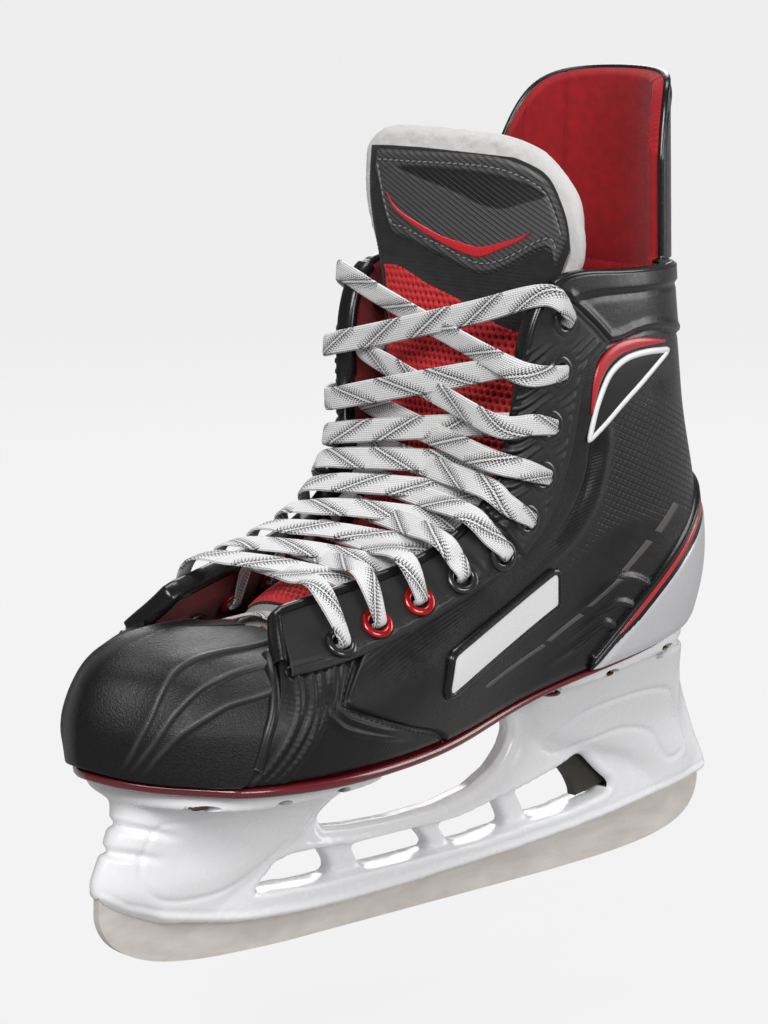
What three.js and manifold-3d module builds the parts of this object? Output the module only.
// Ice hockey skate, left foot: boot, laces, blade holder with release trigger, and steel runner.
// Millimetres. +Z up, -X towards the toe, +X towards the heel, -Y is the outer (lateral) side.
// Origin: on the ice, under the middle of the runner.
import * as THREE from "three";
import { mergeVertices } from "three/addons/utils/BufferGeometryUtils.js";
import Module from "manifold-3d";

const wasm = await Module();
wasm.setup();

// ---- driving dimensions ----
const SHELL = 2.4; // quarter and tendon guard thickness
const LINER = 4.6; // foam and lining thickness
const GAP = 0.4; // clearance between stacked layers
const EYESTAY = 1.5; // lace facing thickness
const FACING_HOLE = 4.0; // radius of the hole through the facing and shell
const EYELET = { bore: 2.7, barrel: 3.5, flange: 5.6, flangeT: 1.1 }; // radii, flange thickness
const LACE = { width: 7.2, edgeWidth: 6, eyeletWidth: 3.6, boreWidth: 2.4, thickness: 1.3 };
const SOLE_FRONT = 3.4, SOLE_REAR = 2.0; // outsole plate thickness
const BOARD_TOP = 3.4, INSOLE_TOP = 8.2; // heights over the outsole's top face
const RUNNER_T = 3.0; // steel thickness
const SLOT_T = 3.8; // runner slot in the holder
const FLANGE_T = 4; // holder flange under the sole
const RAIL_HALF = 7; // half width of the blade rail
const WEB_HALF = 3.3; // half thickness of the webs between the holder's windows
const PIVOT_X = 93, PIVOT_Z = 31; // release trigger's pin
const PIN_R = 1.9;
const SPRING_X = 78;
const TONGUE_T = 5.5;
const FOLLOW = 0.6; // share of the foot's sideways shift that flanges and rivets follow

// offsets from the upper's base surface, outwards positive
const FACING_TOP = GAP + EYESTAY;
const LINING_INNER = -(SHELL + GAP + LINER);
const EYELET_INNER = -(SHELL + 2.2); // eyelet's inner rim
const LACE_OVER = FACING_TOP + 3.8, LACE_UNDER = EYELET_INNER - 1.5;

const SIDES = [[-1, "lateral"], [1, "medial"]];

// ---- number and vector helpers ----
const lerp = (a, b, t) => a + (b - a) * t;
const clamp = (value, low, high) => Math.min(high, Math.max(low, value));
function smooth(t) {
  const c = clamp(t, 0, 1);
  return c * c * (3 - 2 * c);
}
// 0 to 1 with steps that close up at both ends
const easeEnds = (t) => 0.5 - 0.5 * Math.cos(Math.PI * t);
const vec = (x, y, z) => new THREE.Vector3(x, y, z);
const vectors2 = (points) => points.map(([x, y]) => new THREE.Vector2(x, y));
const moved = (point, direction, distance) => point.clone().addScaledVector(direction, distance);

// ---- splines: natural cubic interpolation ----
// Matrix from knot values to second derivatives, by Gauss-Jordan elimination
function secondDerivatives(knots) {
  const n = knots.length;
  const rows = knots.map(() => new Float64Array(2 * n));
  for (let i = 0; i < n; i++) {
    const row = rows[i];
    row[i] = 1;
    if (i === 0 || i === n - 1) continue;
    const before = knots[i] - knots[i - 1], after = knots[i + 1] - knots[i];
    row[i - 1] = before / 6;
    row[i] = (before + after) / 3;
    row[i + 1] = after / 6;
    row[n + i - 1] = 1 / before;
    row[n + i] = -1 / before - 1 / after;
    row[n + i + 1] = 1 / after;
  }
  for (let i = 0; i < n; i++) {
    const pivot = rows[i][i];
    for (let k = 0; k < 2 * n; k++) rows[i][k] /= pivot;
    for (let j = 0; j < n; j++) {
      const factor = rows[j][i];
      if (j === i || !factor) continue;
      for (let k = 0; k < 2 * n; k++) rows[j][k] -= factor * rows[i][k];
    }
  }
  return rows.map((row) => row.slice(n));
}

// Function that gives the weight of each knot's value at t
function knotWeights(knots) {
  const second = secondDerivatives(knots), n = knots.length;
  return (t) => {
    let i = 0;
    while (i < n - 2 && t > knots[i + 1]) i++;
    const h = knots[i + 1] - knots[i];
    const a = (knots[i + 1] - t) / h, b = (t - knots[i]) / h;
    const weights = new Float64Array(n);
    weights[i] += a;
    weights[i + 1] += b;
    const bendA = ((a * a * a - a) * h * h) / 6, bendB = ((b * b * b - b) * h * h) / 6;
    for (let k = 0; k < n; k++) weights[k] += bendA * second[i][k] + bendB * second[i + 1][k];
    return weights;
  };
}

// Rows [t, value...] interpolated over t; a single value column gives plain numbers
function curve(rows) {
  const weightsAt = knotWeights(rows.map((row) => row[0]));
  const columns = rows[0].length - 1;
  return (t) => {
    const weights = weightsAt(t), values = new Array(columns).fill(0);
    rows.forEach((row, i) => {
      for (let k = 0; k < columns; k++) values[k] += weights[i] * row[k + 1];
    });
    return columns === 1 ? values[0] : values;
  };
}

// ---- solids ----
function solid(source) {
  const bare = source.index ? source.toNonIndexed() : source.clone();
  bare.deleteAttribute("normal");
  bare.deleteAttribute("uv");
  const merged = mergeVertices(bare, 1e-4), index = merged.index.array, triangles = [];
  for (let i = 0; i < index.length; i += 3) {
    const [a, b, c] = index.slice(i, i + 3);
    if (a !== b && b !== c && a !== c) triangles.push(a, b, c);
  }
  const build = () => new wasm.Manifold(new wasm.Mesh({
    numProp: 3,
    vertProperties: new Float32Array(merged.attributes.position.array),
    triVerts: new Uint32Array(triangles),
  }));
  const result = build();
  if (result.volume() >= 0) return result;
  // inside out: turn every triangle round
  for (let i = 0; i < triangles.length; i += 3) {
    [triangles[i + 1], triangles[i + 2]] = [triangles[i + 2], triangles[i + 1]];
  }
  return build();
}

function toGeometry(manifold) {
  const { numVert, numProp, vertProperties, triVerts } = manifold.getMesh();
  const positions = new Float32Array(numVert * 3);
  for (let i = 0; i < numVert; i++) {
    positions.set(vertProperties.subarray(i * numProp, i * numProp + 3), i * 3);
  }
  const geometry = new THREE.BufferGeometry();
  geometry.setAttribute("position", new THREE.BufferAttribute(positions, 3));
  geometry.setIndex(new THREE.BufferAttribute(new Uint32Array(triVerts), 1));
  geometry.computeVertexNormals();
  return geometry;
}

function fromQuads(quads) {
  const points = quads.flatMap(([a, b, c, d]) => [a, b, c, a, c, d]);
  return solid(new THREE.BufferGeometry().setFromPoints(points));
}

// Closed slab between two faces of one surface: pointAt(i, j, level) with i and j from 0 to 1
function slab(stepsI, stepsJ, pointAt, outerLevel, innerLevel) {
  const face = (level) => Array.from({ length: stepsI + 1 }, (_, i) =>
    Array.from({ length: stepsJ + 1 }, (_, j) => pointAt(i / stepsI, j / stepsJ, level)));
  const P = face(outerLevel), Q = face(innerLevel), quads = [];
  for (let i = 0; i < stepsI; i++) for (let j = 0; j < stepsJ; j++) {
    quads.push([P[i][j], P[i + 1][j], P[i + 1][j + 1], P[i][j + 1]]);
    quads.push([Q[i][j], Q[i][j + 1], Q[i + 1][j + 1], Q[i + 1][j]]);
  }
  for (let i = 0; i < stepsI; i++) {
    quads.push([P[i][0], Q[i][0], Q[i + 1][0], P[i + 1][0]]);
    quads.push([P[i][stepsJ], P[i + 1][stepsJ], Q[i + 1][stepsJ], Q[i][stepsJ]]);
  }
  for (let j = 0; j < stepsJ; j++) {
    quads.push([P[0][j], P[0][j + 1], Q[0][j + 1], Q[0][j]]);
    quads.push([P[stepsI][j], Q[stepsI][j], Q[stepsI][j + 1], P[stepsI][j + 1]]);
  }
  return fromQuads(quads);
}

// Side-view outline of [x, z] points extruded from y0 to y1
function plate(outline, y0, y1, holes = []) {
  const shape = new THREE.Shape(vectors2(outline));
  for (const hole of holes) shape.holes.push(new THREE.Path(vectors2(hole)));
  const extruded = new THREE.ExtrudeGeometry(shape, { depth: y1 - y0, bevelEnabled: false });
  return solid(extruded.rotateX(Math.PI / 2).translate(0, y1, 0));
}
const midPlate = (outline, halfWidth, holes) => plate(outline, -halfWidth, halfWidth, holes);
const rectangle = (x0, x1, z0, z1) => [[x0, z0], [x0, z1], [x1, z1], [x1, z0]];

const turnFromY = (direction) =>
  new THREE.Quaternion().setFromUnitVectors(vec(0, 1, 0), direction);
function rod(start, end, radius, segments) {
  const axis = end.clone().sub(start), middle = start.clone().add(end).multiplyScalar(0.5);
  return solid(new THREE.CylinderGeometry(radius, radius, axis.length(), segments)
    .applyQuaternion(turnFromY(axis.normalize()))
    .translate(...middle));
}
const lathe = (profile, segments) => new THREE.LatheGeometry(vectors2(profile), segments);

// ---- materials ----
const surface = (settings) => new THREE.MeshStandardMaterial({ metalness: 0, ...settings });
const MATERIALS = {
  shell: surface({ color: 0x1b1b1c, roughness: 0.35 }),
  facing: surface({ color: 0x222223, roughness: 0.4 }),
  cap: surface({ color: 0x151515, roughness: 0.5 }),
  lining: surface({ color: 0xa50f18, roughness: 0.85 }),
  redMesh: surface({ color: 0xd01010, roughness: 0.8 }),
  felt: surface({ color: 0xe9e7e7, roughness: 0.95 }),
  sole: surface({ color: 0x5c1218, roughness: 0.35 }),
  holder: surface({ color: 0xf2f2f4, roughness: 0.35 }),
  steel: surface({ color: 0xbdb3ab, roughness: 0.3, metalness: 1 }),
  black: surface({ color: 0x111111, roughness: 0.4 }),
  lace: surface({ color: 0xdedede, roughness: 0.9 }),
  copper: surface({ color: 0x9a5b33, roughness: 0.35, metalness: 1 }),
  white: surface({ color: 0xf4f4f4, roughness: 0.4 }),
  silver: surface({ color: 0xb9bbbd, roughness: 0.35 }),
  foam: surface({ color: 0x303032, roughness: 0.9 }),
  redMetal: surface({ color: 0xb3121a, roughness: 0.3, metalness: 0.4 }),
  spring: surface({ color: 0x8f8f90, roughness: 0.3, metalness: 1 }),
};

const skate = new THREE.Group();
function add(name, manifold, material) {
  const mesh = new THREE.Mesh(toGeometry(manifold), material);
  mesh.name = name;
  skate.add(mesh);
}

// ---- last shape ----
// height of the outsole's top face along the skate: [x, z]
const soleZ = curve([
  [-160, 78.5], [-152, 75.2], [-145, 72.8], [-132, 71.1], [-115, 70.5], [-95, 70], [-60, 69.5],
  [-25, 71], [5, 75.5], [35, 80], [65, 84.5], [100, 90], [125, 92.5],
]);
const soleUnderZ = (x) => soleZ(x) - lerp(SOLE_FRONT, SOLE_REAR, smooth((x + 20) / 60));
// sideways shift of the foot's centre line along the skate: [x, y]
const shift = curve([
  [-160, -0.6], [-130, -0.8], [-95, -0.9], [-60, -1.2], [-20, -1.6], [20, -0.8], [60, 0],
  [100, 0], [130, 0],
]);
// Upper surface: columns from the toe cap seam to the heel's back,
// each from the sole edge to the throat or top line: [x, half width, z]
const UPPER = [
  [[-119.5, 42, 71], [-114.5, 45.2, 80.2], [-109, 45.6, 90.3], [-104, 42.6, 100.2],
    [-100, 37.3, 108], [-96, 31, 114.5], [-92, 25.5, 121]],
  [[-95, 49, 70.8], [-92, 51.3, 81.5], [-88, 50.8, 92], [-82, 46, 101],
    [-76, 39.3, 107.5], [-69.5, 33.6, 115.5], [-63, 29.5, 126.5]],
  [[-62, 47.5, 70.6], [-59, 50, 82], [-55, 50.3, 93.5], [-49, 47.5, 104.5],
    [-43, 43.2, 113], [-35, 38.8, 122], [-28, 34, 135]],
  [[-28, 41.5, 71.6], [-26, 44, 85.5], [-24, 45.5, 99.5], [-20, 45.5, 113.5],
    [-15, 44, 126], [-8, 41.5, 140], [-2, 38.5, 157]],
  [[5, 35.8, 75.9], [6, 39, 93], [7.5, 41.5, 110.5], [9, 43, 128],
    [9.5, 43.8, 147], [6.5, 43.6, 168], [1.5, 43, 190]],
  [[38, 34.3, 80.9], [38, 37.8, 100], [38, 40, 121], [37, 42.5, 143],
    [33, 44.8, 167], [26, 46, 192], [13, 45.5, 219.5]],
  [[72, 35.2, 85.9], [72, 38.5, 105], [71.5, 39.8, 126], [69, 41, 149],
    [64, 42.5, 173], [57, 43.6, 198], [47, 44, 222]],
  [[103, 27, 91], [106, 29.5, 108.5], [105.5, 30, 129], [101, 30, 152],
    [94.5, 31.5, 175], [90, 33, 198], [86, 33.5, 220.5]],
  [[119, 0, 92.5], [123.5, 0, 108.5], [122, 0, 128], [115.5, 0, 151],
    [109.5, 0, 174], [106.5, 0, 197], [105.5, 0, 219.5]],
];
// the lateral columns, then the same columns mirrored back to the medial toe cap seam
const HEEL = UPPER.length - 1;
const GRID = Array.from({ length: 2 * HEEL + 1 }, (_, c) =>
  UPPER[c <= HEEL ? c : 2 * HEEL - c].map(([x, w, z]) => [x, c <= HEEL ? -w : w, z]));
const weightsU = knotWeights(GRID.map((_, c) => c / HEEL));
const weightsV = knotWeights(GRID[0].map((_, r) => r / (GRID[0].length - 1)));

// u: 0 at the lateral toe cap seam, 1 at the heel's back, 2 at the medial seam
// v: 0 at the sole edge, 1 at the throat or top line
function base(u, v) {
  const a = weightsU(u), b = weightsV(v), p = [0, 0, 0];
  GRID.forEach((column, c) => column.forEach((point, r) => {
    for (let k = 0; k < 3; k++) p[k] += a[c] * b[r] * point[k];
  }));
  p[1] += shift(p[0]);
  return vec(...p);
}
function normal(u, v) {
  const e = 1e-3, u0 = clamp(u - e, 0, 2), u1 = clamp(u + e, 0, 2);
  const v0 = clamp(v - e, 0, 1), v1 = clamp(v + e, 0, 1);
  const alongU = base(u1, v).sub(base(u0, v)), alongV = base(u, v1).sub(base(u, v0));
  return alongU.cross(alongV).normalize();
}
const skin = (u, v, offset) => moved(base(u, v), normal(u, v), offset);
// u on the given side for a lateral u
const sideU = (side, u) => (side < 0 ? u : 2 - u);

const SEEDS = [];
for (let i = 0; i <= 40; i++) for (let j = 0; j <= 24; j++) {
  SEEDS.push({ u: i / 40, v: j / 24, point: base(i / 40, j / 24) });
}
// Lateral [u, v] of a place in the side view: Newton's method from the nearest seed
function locate([x, z]) {
  let nearest = Infinity, u, v;
  for (const seed of SEEDS) {
    const distance = (seed.point.x - x) ** 2 + (seed.point.z - z) ** 2;
    if (distance < nearest) {
      nearest = distance;
      ({ u, v } = seed);
    }
  }
  const e = 1e-4;
  for (let k = 0; k < 12; k++) {
    const p = base(u, v);
    const pu = base(u + e, v).sub(p).divideScalar(e), pv = base(u, v + e).sub(p).divideScalar(e);
    const det = pu.x * pv.z - pu.z * pv.x, dx = x - p.x, dz = z - p.z;
    if (Math.abs(det) < 1e-6) break;
    u = clamp(u + clamp((dx * pv.z - dz * pv.x) / det, -0.1, 0.1), 0, 1);
    v = clamp(v + clamp((pu.x * dz - pu.z * dx) / det, -0.1, 0.1), 0, 1);
  }
  return [u, v];
}

// ---- eyelet places ----
// side view, top to bottom: [x, z]
const EYELETS = [
  [19, 208], [17, 191], [13.5, 173], [11, 156], [3.5, 142],
  [-8, 131.5], [-24, 124.5], [-41, 119], [-58.5, 113.5], [-74.5, 109],
];
const EYELET_UV = EYELETS.map(locate);
function eyeletAt(side, k) {
  const v = EYELET_UV[k][1], u = sideU(side, EYELET_UV[k][0]);
  return { point: base(u, v), normal: normal(u, v), u, v };
}

// ---- boot upper ----
// the layers share one grid, so that their facets stay parallel
const LAYER_U = [
  0.004, 0.09, 0.17, 0.24, 0.3, 0.35, 0.4, 0.46, 0.53, 0.62, 0.72, 0.82, 0.91, 0.9965,
];
const LAYER_V = [0.006, 0.17, 0.34, 0.5, 0.66, 0.82, 0.996];
// side-view outlines that trim the lining and the lace facing: [x, z]
const LINER_OUTLINE = [
  [-84, 60], [-80, 92], [-52, 103], [-30, 109], [-8, 117.5], [8, 128], [24, 144], [31, 163],
  [35, 185], [37, 205], [38, 230], [140, 230], [140, 60],
];
const EYESTAY_OUTLINE = [
  [-130, 140], [-101.5, 118], [-104.5, 103], [-103, 101], [-76, 105], [-54, 110], [-35, 113],
  [-16, 118], [3, 128], [20, 147], [28.5, 163], [31, 178], [31.5, 195], [31.5, 240], [-130, 240],
];
// ankle badge's upper and lower edges, front to back: [x, z]
const BADGE_TOP = [[34, 164], [39.5, 181], [49, 191.5], [62, 196], [80, 193.5]].map(locate);
const BADGE_LOW = [
  [35.5, 163.2], [44.5, 167], [54.5, 173], [66, 181.5], [80.5, 192.5],
].map(locate);

// skip: grid lines left out at the toe seam and at the sole edge
function layer(side, outer, inner, skip = 0) {
  const us = LAYER_U.slice(skip), vs = LAYER_V.slice(skip);
  const lastU = us.length - 1, lastV = vs.length - 1;
  return slab(lastU, lastV, (i, j, offset) =>
    skin(sideU(side, us[Math.round(i * lastU)]), vs[Math.round(j * lastV)], offset), outer, inner);
}
const sidePrism = (outline, side) =>
  (side < 0 ? plate(outline, -90, 12) : plate(outline, -12, 90));
function facingHoles(side) {
  const holes = EYELETS.map((_, k) => {
    const e = eyeletAt(side, k);
    return rod(moved(e.point, e.normal, -14), moved(e.point, e.normal, 8), FACING_HOLE, 7);
  });
  return holes.reduce((a, b) => a.add(b));
}
function ankleBadge(side) {
  const spans = BADGE_TOP.length - 1;
  return slab(spans, 2, (i, j, offset) => {
    const t = i * spans, k = Math.min(spans - 1, Math.floor(t));
    const [u, v] = [0, 1].map((c) => lerp(
      lerp(BADGE_TOP[k][c], BADGE_TOP[k + 1][c], t - k),
      lerp(BADGE_LOW[k][c], BADGE_LOW[k + 1][c], t - k), j));
    return skin(sideU(side, u), v, offset);
  }, 2, 0.8);
}
for (const [side, label] of SIDES) {
  const holes = facingHoles(side);
  add(`quarter_${label}`, layer(side, 0, -SHELL).subtract(holes), MATERIALS.shell);
  // lining and ankle foam, from behind the facing back to the heel
  const lining = layer(side, -SHELL - GAP, LINING_INNER, 1);
  add(`liner_${label}`, lining.intersect(sidePrism(LINER_OUTLINE, side)), MATERIALS.lining);
  // lace facing: a strip along the throat, wider round the ankle
  const facing = layer(side, FACING_TOP, GAP).intersect(sidePrism(EYESTAY_OUTLINE, side));
  add(`eyestay_${label}`, facing.subtract(holes), MATERIALS.facing);
  add(`ankle_badge_${label}`, ankleBadge(side), MATERIALS.white);
}

// nameplate on the outer side
function sideBadge() {
  const [lowFront, topFront, topRear, lowRear] =
    [[-31, 88], [-29, 100.5], [22.5, 121], [24.5, 108]].map(locate);
  return slab(6, 2, (i, j, offset) => {
    const [u, v] = [0, 1].map((c) =>
      lerp(lerp(lowFront[c], lowRear[c], i), lerp(topFront[c], topRear[c], i), j));
    return skin(u, v, offset);
  }, 2.2, 0.7);
}
add("side_badge_lateral", sideBadge(), MATERIALS.white);

// cap round the back of the heel; its top edge: [u, v]
const heelCapTop = curve([
  [0.66, 0.03], [0.74, 0.17], [0.82, 0.29], [0.9, 0.385], [1, 0.43],
  [1.1, 0.385], [1.18, 0.29], [1.26, 0.17], [1.34, 0.03],
]);
function heelCap() {
  return slab(20, 3, (i, j, offset) => {
    const u = lerp(0.66, 1.34, i);
    return skin(u, lerp(0.006, heelCapTop(u), j), offset);
  }, 2.4, 0.8);
}
add("heel_cap", heelCap(), MATERIALS.silver);

// ---- toe cap ----
// A dome over the front of the sole, level 0 on the ridge to 1 at the sole edge
const TOE_CAP_T = 3;
// rear seam: [level, half width, z, x]
const capSeam = curve([
  [0, 0, 111.5, -80], [0.15, 11, 111.6, -82], [0.3, 22.5, 110, -90], [0.44, 30.3, 109, -98.7],
  [0.56, 36.9, 105, -103.4], [0.68, 41.8, 98.8, -106.4], [0.8, 44.8, 89.8, -110.8],
  [0.9, 44.6, 80.2, -116.2], [1, 41.4, 71.5, -121.2],
]);
// front of the toe: [level, x, z]
const capNose = curve([
  [0, -112, 116], [0.2, -127, 113.4], [0.38, -138.5, 109.6], [0.54, -145.8, 104],
  [0.68, -149.8, 97], [0.8, -152, 90], [0.9, -152.6, 83], [1, -151.4, 75.6],
]);
// across: -1 at the lateral seam, 0 at the front of the toe, 1 at the medial seam
function capPoint(across, level, depth) {
  const [seamHalf, seamZ, seamX] = capSeam(level), [noseX, noseZ] = capNose(level);
  const forward = 1 - Math.pow(Math.abs(across), lerp(1.75, 1.5, smooth(level)));
  const half = Math.max(0, seamHalf - depth * smooth(level / 0.3));
  const frontX = Math.min(noseX + depth * smooth(level / 0.4), seamX - 0.5);
  const x = lerp(seamX, frontX, forward);
  const settle = smooth((level - 0.82) / 0.18); // brings the lower edge down onto the sole
  const z = lerp(lerp(seamZ, noseZ, forward), soleZ(x) + GAP, settle);
  return vec(x, across * half + shift(x), z - depth * smooth((0.9 - level) / 0.5));
}
const toeCap = slab(20, 8, (i, j, depth) => capPoint(lerp(-1, 1, i), 1 - j, depth), 0, TOE_CAP_T);
add("toe_cap", toeCap, MATERIALS.cap);

// ---- sole stack ----
const SOLE_END = 118.6; // rear end of the outsole
// half width of the footprint behind the toe: [x, half width]
const footprint = curve([
  [-121.2, 41.4], [-108, 46.6], [-95, 49.2], [-80, 49.8], [-62, 47.8], [-28, 41.8], [5, 36.2],
  [38, 34.6], [72, 35.4], [96, 31], [108, 23.5], [115, 14.5], [SOLE_END, 6],
]);
const footHalf = (x) => (x < -121.2
  ? 41.4 * Math.pow(Math.max(0, x + 151.4) / 30.2, 2 / 3)
  : footprint(Math.min(x, SOLE_END)));
const aboveSole = (height) => (x) => soleZ(x) + height;
// topZ and bottomZ are functions of x
function solePlate(x0, x1, inset, topZ, bottomZ, steps = 20) {
  return slab(steps, 2, (i, j, zAt) => {
    const x = lerp(x0, x1, easeEnds(i));
    return vec(x, (footHalf(x) - inset) * (2 * j - 1) + shift(x), zAt(x));
  }, topZ, bottomZ);
}
const insole = solePlate(-138, 107, 10.5, aboveSole(INSOLE_TOP), aboveSole(BOARD_TOP + GAP));
add("insole", insole, MATERIALS.foam);

// ---- tongue ----
// centre line: [along, x, z, half width, edge drop, twist towards the outer side]
const tongueLine = curve([
  [0, -92, 102, 17, 4, 0], [0.06, -79, 106.3, 20, 5.5, 0], [0.15, -62, 117.5, 23.5, 8, 0],
  [0.29, -31, 127.5, 27.5, 9.5, 0], [0.4, -9, 138.5, 31, 9, 0.01],
  [0.49, 3, 155.5, 33.2, 8, 0.03], [0.59, 9.5, 176, 34.5, 7.5, 0.06],
  [0.69, 13.2, 196, 35, 7, 0.1], [0.8, 15.6, 218, 36, 6.5, 0.15],
  [0.91, 20, 243, 42, 5.5, 0.2], [1, 24.5, 264, 43.5, 5, 0.22],
]);
const FLEX = 0.815, FLEX_GAP = 0.003; // flex line above the top lace, and the gap each side of it
// across: -1 at the lateral edge, 1 at the medial edge
function tonguePoint(along, across, offset) {
  const before = tongueLine(Math.max(0, along - 1e-3));
  const after = tongueLine(Math.min(1, along + 1e-3));
  const [x, z, half, drop, twist] = tongueLine(along);
  const outward = vec(before[1] - after[1], 0, after[0] - before[0]).normalize();
  const section = (q) => {
    const fall = drop * Math.pow(Math.abs(q), 2.4) * (q > 0 ? 1 - twist * 2.4 : 1);
    return vec(0, half * q, 0).addScaledVector(outward, twist * half * q - fall);
  };
  const sideways = section(Math.min(1, across + 0.01))
    .sub(section(Math.max(-1, across - 0.01))).normalize();
  const up = moved(outward, sideways, -outward.dot(sideways)).normalize();
  return vec(x, shift(x) * (1 - smooth(along / 0.5)), z)
    .add(section(across)).addScaledVector(up, offset);
}
// the top rim falls away on the outer side; j: 0 at the lateral edge, 1 at the medial edge
const tongueRim = (j) =>
  0.985 - 0.096 * Math.pow(Math.max(0, 1 - 2 * j), 2.2) - 0.012 * Math.pow(Math.abs(2 * j - 1), 6);
// flex line at i = 0, rim at i = 0.8, a little beyond it at i = 1
const tongueRise = (i, j) =>
  lerp(FLEX + FLEX_GAP, tongueRim(j), Math.min(1, i * 1.25)) + 0.15 * Math.max(0, i - 0.8);
const tongueSheet = (stepsAlong, stepsAcross, alongAt, outer, inner, span = 1) =>
  slab(stepsAlong, stepsAcross, (i, j, offset) =>
    tonguePoint(alongAt(i, j), lerp(-span, span, j), offset), outer, inner);

const lowerAlong = (i) => lerp(0, FLEX - FLEX_GAP, i);
add("tongue_lower", tongueSheet(13, 6, lowerAlong, 0, -TONGUE_T), MATERIALS.redMesh);
const upperAlong = (i, j) => tongueRise(0.8 * i, j);
add("tongue_upper", tongueSheet(4, 8, upperAlong, 0, -2.4), MATERIALS.black);
add("tongue_felt", tongueSheet(5, 8, tongueRise, -3.2, -9.4), MATERIALS.felt);
const badgeAlong = (i, j) => lerp(0.835, tongueRim(lerp(0.14, 0.86, j)) - 0.02, i);
add("tongue_badge", tongueSheet(4, 5, badgeAlong, 2.3, 0.8, 0.72), MATERIALS.facing);

// ---- tendon guard ----
// plan: [t, x, distance towards the outer side], t from -1 on the outer side to 1 on the inner
const guardPlan = curve([
  [-1, 82.4, 35.1], [-0.72, 91.4, 30], [-0.4, 100.7, 19.6], [0, 105.5, 0],
  [0.4, 99.6, -21.5], [0.72, 86.5, -33], [1, 71, -39.3],
]);
const GUARD_BOTTOM = 222.2;
const GUARD_LINER_T = 3.8;
const guardTop = (t) => 287 - 6 * t * t - 24 * Math.pow(Math.abs(t), 7);
// h: 0 at the lower edge, 1 at the top edge
function guardFace(t, h) {
  const [x, outerwards] = guardPlan(t), z = lerp(GUARD_BOTTOM, guardTop(t), h);
  const rise = (z - 222) / 65;
  return vec(x - 1.5 * rise + 4 * rise * t * t, -outerwards * (1 - 0.1 * rise * Math.abs(t)), z);
}
function guardPoint(t, h, offset) {
  const a = guardFace(clamp(t - 1e-3, -1, 1), h), b = guardFace(clamp(t + 1e-3, -1, 1), h);
  return moved(guardFace(t, h), vec(b.y - a.y, a.x - b.x, 0).normalize(), offset);
}
const guard = slab(12, 4, (i, j, offset) => guardPoint(lerp(-1, 1, i), j, offset), 0, -SHELL);
add("tendon_guard", guard, MATERIALS.shell);
const guardLiner = slab(12, 4, (i, j, offset) =>
  guardPoint(lerp(-0.97, 0.97, i), lerp(0.03, 0.975, j), offset),
-SHELL - GAP, -SHELL - GAP - GUARD_LINER_T);
add("tendon_guard_liner", guardLiner, MATERIALS.lining);

// ---- holder ----
// side-view outlines, [x, z]
const HOLDER_UNDERSIDE = [
  [-144.5, 30], [-136, 24.5], [-122, 19.5], [-101, 14.8], [-84, 12], [-57, 10.2], [-34, 10],
  [-10, 10.6], [14, 11.6], [39, 12.6], [69, 14.6], [90, 16.6], [112, 19.6], [128, 22], [140, 25],
];
const HOLDER_OUTLINE = [
  ...new THREE.SplineCurve(vectors2(HOLDER_UNDERSIDE))
    .getPoints((HOLDER_UNDERSIDE.length - 1) * 2).map((p) => [p.x, p.y]),
  // back of the rear tower
  [140.8, 28.5], [134.6, 40], [129.6, 52], [125.6, 62], [121, 74],
  // top and front of the rear tower, bridge, back of the front tower
  [110, 74], [60, 69], [36, 68], [38.5, 62], [40.5, 56], [37.5, 49.5], [31, 43.5], [20, 38.5],
  [4, 35.6], [-18, 35], [-38, 36], [-49, 37.4], [-52.5, 39.6], [-50, 42.6], [-44, 46], [-34, 51],
  [-24, 58.5],
  // top and front of the front tower
  [-40, 60], [-100, 60], [-130, 62], [-137, 62], [-135, 57], [-137.5, 51], [-140.5, 46],
  [-143.5, 39], [-146.4, 33],
];
const WINDOWS = [
  [[-83.5, 22.0], [-80, 24.2], [-73.5, 29.6], [-66, 31.2], [-50.4, 30.2], [-47.8, 28.6],
    [-44.2, 21.8], [-46.4, 20.2], [-52, 19.9]],
  [[-36.6, 28.8], [-31.4, 20.0], [-14, 19.6], [0.8, 20.2], [1.8, 21.6], [-4.2, 28.4],
    [-6, 28.8]],
  [[4.2, 28.4], [11.2, 20.2], [24, 20.2], [37.8, 21.4], [39.2, 22.8], [33.8, 32.2],
    [32, 32.8], [18, 29.8]],
  [[42.4, 34.4], [50.0, 22.4], [66, 23.8], [87.6, 26.6], [90, 29.4], [80, 38.5],
    [73, 42.4], [60, 40.6]],
];
// shallow field round the windows, which leaves the struts between them as thin webs
const WEB_FIELD = [
  [-83.9, 21.4], [-52, 19.3], [-31, 19.4], [-14, 19.0], [11.5, 19.6], [24, 19.6], [38, 20.8],
  [50.4, 21.8], [66, 23.2], [87.8, 26.0], [90.8, 29.4], [80.3, 39.1], [73, 43.0], [60, 41.2],
  [43, 35.1], [32, 33.5], [18, 30.4], [5, 29.1], [-6, 29.4], [-35.8, 29.5], [-50, 30.9],
  [-66, 31.8], [-74, 30.1], [-81, 24.6],
];
const TRIGGER_POCKET = [
  [62, 37], [68, 24.2], [88, 26.8], [98, 24.6], [114, 24.6], [114, 47], [97, 54], [74, 57],
  [62, 46],
];
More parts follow.
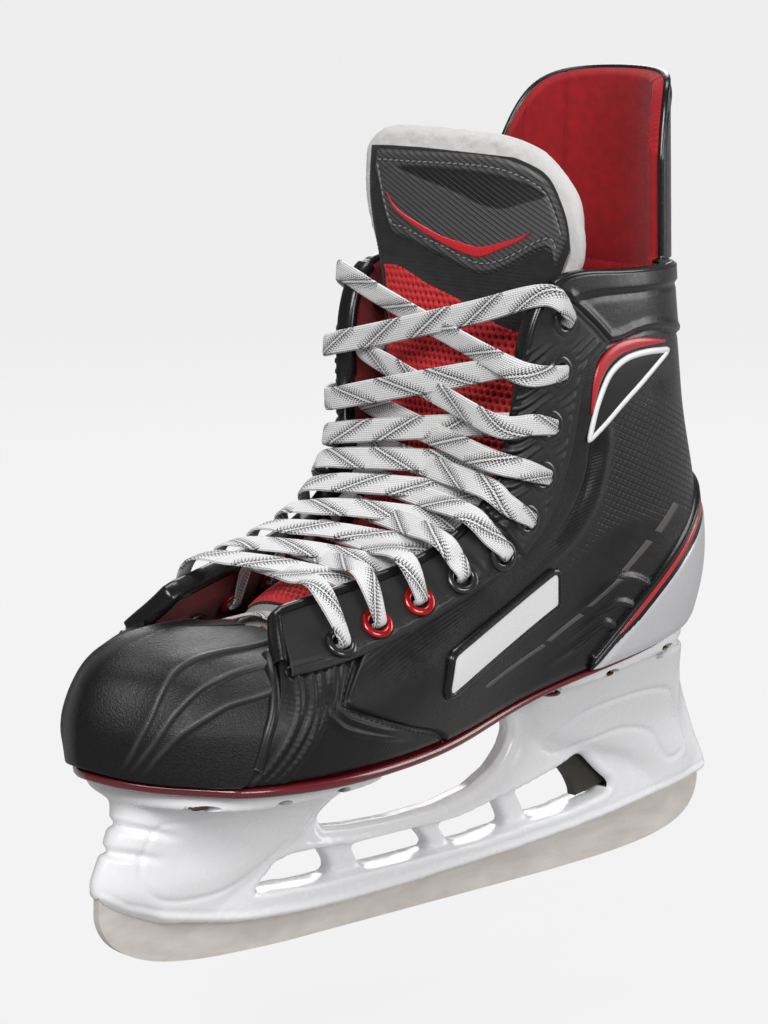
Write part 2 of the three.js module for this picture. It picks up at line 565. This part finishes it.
// towers: front x, rear x and half width, each over height as [z, value]
const FRONT_TOWER = {
  z0: 17.5, z1: 64.2,
  frontX: curve([
    [16, -116], [24, -135.5], [32, -144], [40, -141], [50, -136], [57, -133], [64, -133],
  ]),
  rearX: curve([
    [16, -92], [24, -84], [32, -70], [40, -53.5], [50, -36], [57, -26.5], [64, -22],
  ]),
  half: curve([[16, 6.6], [24, 8], [32, 9.4], [40, 11], [50, 15.6], [57, 21], [64, 28]]),
};
const REAR_TOWER = {
  z0: 22, z1: 77,
  frontX: curve([[20, 108], [30, 95], [40, 76], [50, 43], [58, 40], [66, 37.5], [76, 34]]),
  rearX: curve([
    [20, 127], [30, 139.5], [40, 134.8], [50, 130.6], [58, 127.2], [66, 124], [76, 120.6],
  ]),
  half: curve([[20, 6.8], [30, 8.4], [40, 10.2], [50, 12.4], [58, 15.6], [66, 19.4], [76, 25]]),
};
// flange half widths: [x, half width]
const frontFlangeHalf = curve([
  [-142, 22], [-132, 27], [-120, 34], [-95, 40.5], [-60, 39], [-34, 34],
]);
const rearFlangeHalf = curve([[28, 27], [50, 30], [80, 31], [104, 27.5], [121, 18]]);
const SLOT_FRONT = -145.4, SLOT_REAR = 141.6;
// top of the runner slot, [x, z]; deeper at the front so that the runner can tip about its hook
const slotTop = curve([
  [-145.6, 45], [-118, 42], [-104, 31], [-84, 19.5], [-57, 16.6], [-10, 16.8], [39, 18.6],
  [69, 20], [90, 22], [112, 25], [141.4, 30],
]);
const flangeZ = (x) => soleUnderZ(x) - GAP;

// horizontal sections that flare from the rail up to the flange
function tower({ z0, z1, frontX, rearX, half }) {
  return slab(8, 5, (i, j, side) => {
    const z = lerp(z0, z1, j), front = frontX(z), rear = rearX(z);
    const x = lerp(front, rear, easeEnds(i)), r = 2 * (x - front) / (rear - front) - 1;
    const fullness = Math.max(0, 1 - Math.pow(Math.abs(r), r < 0 ? 2 : 3.2));
    return vec(x, side * Math.max(half(z) * Math.pow(fullness, r < 0 ? 0.6 : 0.42), 1.2), z);
  }, -1, 1);
}
function flange(x0, x1, halfAt) {
  return slab(12, 1, (i, j, lift) => {
    const x = lerp(x0, x1, easeEnds(i)), r = 2 * (x - x0) / (x1 - x0) - 1;
    const half = halfAt(x) * Math.max(0.22, Math.pow(1 - Math.pow(Math.abs(r), 3), 0.42));
    return vec(x, half * (2 * j - 1) + shift(x) * FOLLOW, flangeZ(x) + lift);
  }, 0, -FLANGE_T);
}
// the space above the flanges
function soleClearance() {
  return slab(44, 1, (i, j, lift) => {
    const x = lerp(-175, 150, i);
    return vec(x, lerp(-70, 70, j), flangeZ(clamp(x, -160, 125)) + lift);
  }, 60, 0);
}
function runnerSlot() {
  const outline = [];
  for (let i = 0; i <= 14; i++) {
    const x = lerp(SLOT_FRONT, SLOT_REAR, i / 14);
    outline.push([x, slotTop(x)]);
  }
  outline.push([160, slotTop(SLOT_REAR) - 0.4], [160, -5], [SLOT_FRONT, -5]);
  return midPlate(outline, SLOT_T / 2);
}
const pivotRod = (y0, y1, radius) =>
  rod(vec(PIVOT_X, y0, PIVOT_Z), vec(PIVOT_X, y1, PIVOT_Z), radius, 16);

function holderBody() {
  return midPlate(HOLDER_OUTLINE, RAIL_HALF, WINDOWS)
    .add(tower(FRONT_TOWER))
    .add(tower(REAR_TOWER))
    .add(flange(-140.5, -33, frontFlangeHalf))
    .add(flange(29, 120.5, rearFlangeHalf))
    .subtract(plate(WEB_FIELD, WEB_HALF, 30))
    .subtract(plate(WEB_FIELD, -30, -WEB_HALF))
    .subtract(soleClearance())
    .subtract(runnerSlot())
    .subtract(midPlate(rectangle(95.5, 114, 15, 45), SLOT_T / 2)) // runner's rear tab pocket
    .subtract(midPlate(TRIGGER_POCKET, 5.2))
    .subtract(rod(vec(SPRING_X, 0, 50), vec(SPRING_X, 0, 63), 4.4, 12)) // spring seat
    .subtract(pivotRod(-6.3, 12, PIN_R + 0.06)); // pin bore through the cheeks
}

// ---- rivets, and the pieces they pass through ----
// radii; heights from the outsole's top face; the head is below, the tail above
const RIVET = {
  shank: 2.1, hole: 2.9, head: 4.2, tail: 3.5, headT: 1.2, tailT: 1.4, bottom: -8.6, top: 2.4,
};
// pairs on both sides of the centre line, toe to heel: [x, distance from the centre line]
const RIVET_ROWS = {
  front: [[-124, 24.5], [-100, 32], [-74, 33.5], [-49, 30]],
  rear: [[39.5, 22.5], [64, 25], [93, 24]],
};
function rivet({ x, y, z }) {
  const { shank, head, tail, headT, tailT } = RIVET;
  const bottom = z + RIVET.bottom, top = z + RIVET.top;
  const profile = [
    [0, bottom], [head, bottom], [head, bottom + headT], [shank, bottom + headT],
    [shank, top - tailT], [tail, top - tailT], [tail, top], [0, top],
  ];
  return solid(lathe(profile, 6).rotateX(Math.PI / 2).translate(x, y, 0));
}
const uprightRod = ({ x, y, z }, bottom, top, radius) =>
  rod(vec(x, y, z + bottom), vec(x, y, z + top), radius, 6);

let holder = holderBody();
let outsole = solePlate(-149, SOLE_END, 0.6, soleZ, soleUnderZ, 26);
let board = solePlate(-139, 110, 9.5, aboveSole(BOARD_TOP), aboveSole(GAP));
for (const [end, stations] of Object.entries(RIVET_ROWS)) {
  stations.forEach(([x, distance], i) => {
    for (const [side, label] of SIDES) {
      const place = vec(x, side * distance + shift(x) * FOLLOW, soleZ(x));
      const hole = uprightRod(place, -14, 3.2, RIVET.hole);
      const headSeat = uprightRod(place, -26, -7.2, RIVET.head + 0.8);
      holder = holder.subtract(hole).subtract(headSeat);
      outsole = outsole.subtract(hole);
      // room for the tail
      board = board.subtract(uprightRod(place, -2, 6, RIVET.head + 0.6));
      add(`rivet_${end}_${label}_${i + 1}`, rivet(place), MATERIALS.copper);
    }
  });
}
add("outsole", outsole, MATERIALS.sole);
add("midsole_board", board, MATERIALS.foam);
add("holder", holder, MATERIALS.holder);

// ---- runner ----
// side view, [x, z]; the ground edge runs from toe to heel
const RUNNER_EDGE = [
  [-144.6, 28], [-144.4, 22.4], [-141.7, 16.7], [-137.1, 12.2], [-129.9, 8.2], [-121.6, 5.3],
  [-111, 3.2], [-98, 1.7], [-80, 0.7], [-60, 0], [60, 0], [88, 0.6], [108, 1.9], [121.5, 4],
  [132.3, 7.6], [138.6, 13], [141.2, 20], [140.4, 27.6],
];
const runnerTop = curve([
  [-144.6, 33.8], [-136, 29.5], [-122, 24.4], [-101, 19], [-84, 16.2], [-57, 14.4],
  [-34, 14.2], [-10, 14.8], [14, 15.8], [39, 16.8], [69, 18.4], [90, 20.4], [112, 23.2],
  [128, 25.6], [139.6, 28],
]);
const FRONT_HOOK = [
  [-126, 22], [-127, 30], [-124, 35.6], [-112, 35.6], [-110, 32], [-116, 31.4],
  [-117.5, 28.5], [-113, 26], [-108, 19],
];
const REAR_TAB = [[98.5, 18], [98.9, 37.5], [105.6, 38.5], [106.4, 34.6], [105, 33], [107, 20]];
function runner() {
  const outline = [...RUNNER_EDGE];
  for (let i = 0; i <= 16; i++) {
    const x = lerp(139.6, -144.4, i / 16);
    outline.push([x, runnerTop(x)]);
  }
  const [blade, hook, tab] = [outline, FRONT_HOOK, REAR_TAB]
    .map((part) => midPlate(part, RUNNER_T / 2));
  return blade.add(hook).add(tab);
}
add("runner", runner(), MATERIALS.steel);

// ---- release trigger ----
const TRIGGER_HALF = 4.6; // half width
// side view, [x, z]
const TRIGGER_BODY = [
  [69.6, 36.4], [71.8, 33], [73.6, 29], [74.8, 25.4], [87.5, 27.6], [95.2, 27.8], [95.2, 41],
  [94, 45], [84, 47.4], [74, 46.8], [69, 42],
];
const TRIGGER_ARM = [
  [92, 41], [112.4, 39.6], [112.4, 32.6], [108.4, 32.6], [108.2, 36], [92, 36.4],
];
// the rear arm is a loop that the runner's tab passes through
const trigger = midPlate(TRIGGER_BODY, TRIGGER_HALF)
  .add(midPlate(TRIGGER_ARM, TRIGGER_HALF))
  .subtract(midPlate(rectangle(95.3, 108, 20, 50), 2.4))
  .subtract(pivotRod(-6, 6, PIN_R + 0.07));
add("release_trigger", trigger, MATERIALS.black);
add("trigger_pin", pivotRod(-6, 7.2, PIN_R), MATERIALS.steel);

// return spring in the tower, at its pressed length so that it clears the pulled trigger
const SPRING = { radius: 2.9, turns: 4, bottom: 52.6, length: 9.6 };
class Helix extends THREE.Curve {
  getPoint(t) {
    const { radius, turns, bottom, length } = SPRING, angle = t * Math.PI * 2 * turns;
    return vec(SPRING_X + radius * Math.cos(angle), radius * Math.sin(angle), bottom + t * length);
  }
}
const springWire = new THREE.Shape(vectors2([[-0.45, -0.4], [0.45, -0.4], [0, 0.5]]));
const spring = new THREE.ExtrudeGeometry(springWire, { steps: 36, extrudePath: new Helix() });
add("trigger_spring", solid(spring), MATERIALS.spring);

// ---- eyelets ----
function eyelet(side, k) {
  const { bore, barrel, flange: rim, flangeT } = EYELET;
  const e = eyeletAt(side, k);
  const low = FACING_TOP + (k > 5 ? 1.1 : 0.6), high = low + flangeT; // flange's faces
  const profile = [
    [bore, EYELET_INNER], [rim - 1, EYELET_INNER], [barrel, EYELET_INNER + 1.2], [barrel, low],
    [rim, low], [rim - 0.8, high], [bore, high], [bore, EYELET_INNER],
  ];
  return solid(lathe(profile, 7).applyQuaternion(turnFromY(e.normal)).translate(...e.point));
}
for (const [side, label] of SIDES) {
  EYELETS.forEach((_, k) => {
    const material = k === 7 || k === 8 ? MATERIALS.redMetal : MATERIALS.black;
    add(`eyelet_${label}_${k + 1}`, eyelet(side, k), material);
  });
}

// ---- lace ----
// Flat strands: each leaves an eyelet's inner side, passes under its own facing, crosses the
// tongue, goes over the opposite facing's edge and into the next eyelet down from outside.

// Flat band through rows [place, face normal, width]
function ribbon(rows) {
  const last = rows.length - 1;
  let lastAcross = null;
  const sections = rows.map(([place, up, width], i) => {
    const next = rows[Math.min(last, i + 1)][0], previous = rows[Math.max(0, i - 1)][0];
    const along = next.clone().sub(previous).normalize();
    const across = along.clone().cross(up).normalize(), face = across.clone().cross(along);
    face.normalize();
    if (lastAcross && across.dot(lastAcross) < 0) {
      across.negate();
      face.negate();
    }
    lastAcross = across;
    return [[-1, 1], [1, 1], [1, -1], [-1, -1]].map(([a, b]) =>
      moved(moved(place, across, (a * width) / 2), face, (b * LACE.thickness) / 2));
  });
  const quads = [];
  for (let i = 0; i < last; i++) for (let j = 0; j < 4; j++) {
    const A = sections[i], B = sections[i + 1], k = (j + 1) % 4;
    quads.push([A[j], B[j], B[k], A[k]]);
  }
  quads.push(sections[0], sections[last].slice().reverse());
  return fromQuads(quads);
}

// the throat's edge beside an eyelet
function throatEdge(side, k) {
  const eyeletPoint = eyeletAt(side, k).point;
  let nearest = Infinity, u = 0;
  for (let i = 0; i <= 300; i++) {
    const trial = sideU(side, (i / 300) * 0.66);
    const distance = base(trial, 1).distanceTo(eyeletPoint);
    if (distance < nearest) {
      nearest = distance;
      u = trial;
    }
  }
  const point = base(u, 1);
  return { point, normal: normal(u, 0.98), u, away: point.clone().sub(eyeletPoint).normalize() };
}

// one half of the lace, from its tucked end at the top eyelet of a side down to the bottom eyelet
function laceHalf(startSide) {
  const { width, edgeWidth, eyeletWidth, boreWidth } = LACE;
  const first = eyeletAt(startSide, 0), firstAway = throatEdge(startSide, 0).away;
  const rows = [
    [moved(first.point, first.normal, LACE_UNDER - 1), firstAway, boreWidth],
    [first.point, firstAway, boreWidth],
    [moved(first.point, first.normal, LACE_OVER), first.normal, eyeletWidth],
  ];
  for (let k = 0, side = startSide; k < EYELETS.length - 1; k++, side = -side) {
    const from = throatEdge(side, k), to = throatEdge(-side, k + 1), eye = eyeletAt(-side, k + 1);
    const leave = moved(from.point, from.normal, k === 0 ? LACE_OVER : LACE_UNDER)
      .addScaledVector(from.away, k === 0 ? 2.5 : 1);
    const arrive = moved(to.point, to.normal, LACE_OVER + 0.4).addScaledVector(to.away, 1.5);
    const front = from.normal.clone().add(to.normal).setY(0).normalize();
    const lift = side < 0 ? 3.4 : 1.5; // keeps crossing strands apart
    rows.push([leave, from.normal, edgeWidth]);
    for (const t of [0.3, 0.7]) {
      rows.push([leave.clone().lerp(arrive, t).addScaledVector(front, lift), front, width]);
    }
    rows.push([arrive, to.normal, edgeWidth]);
    if (k > 0 && k < 6) { // round the ankle's bend
      const u = (to.u + eye.u) / 2, v = (1 + eye.v) / 2;
      rows.push([skin(u, v, LACE_OVER + 0.5), normal(u, v), 5]);
    }
    rows.push(
      [moved(eye.point, eye.normal, LACE_OVER), eye.normal, eyeletWidth],
      [eye.point, to.away, boreWidth],
      [moved(eye.point, eye.normal, LACE_UNDER), eye.normal, eyeletWidth],
    );
  }
  return rows;
}

function lace() {
  const down = laceHalf(-1), up = laceHalf(1).reverse();
  const medialEnd = down[down.length - 1][0], lateralEnd = up[0][0];
  // bar across the bottom pair of eyelets
  const bar = [0.28, 0.5, 0.72].map((t) => [
    medialEnd.clone().lerp(lateralEnd, t).add(vec(0, 0, 9.5 - 75 * (t - 0.5) ** 2)),
    vec(0, (0.5 - t) * 1.2, 1).normalize(),
    5,
  ]);
  return ribbon([...down, ...bar, ...up]);
}
add("lace", lace(), MATERIALS.lace);

export default skate;
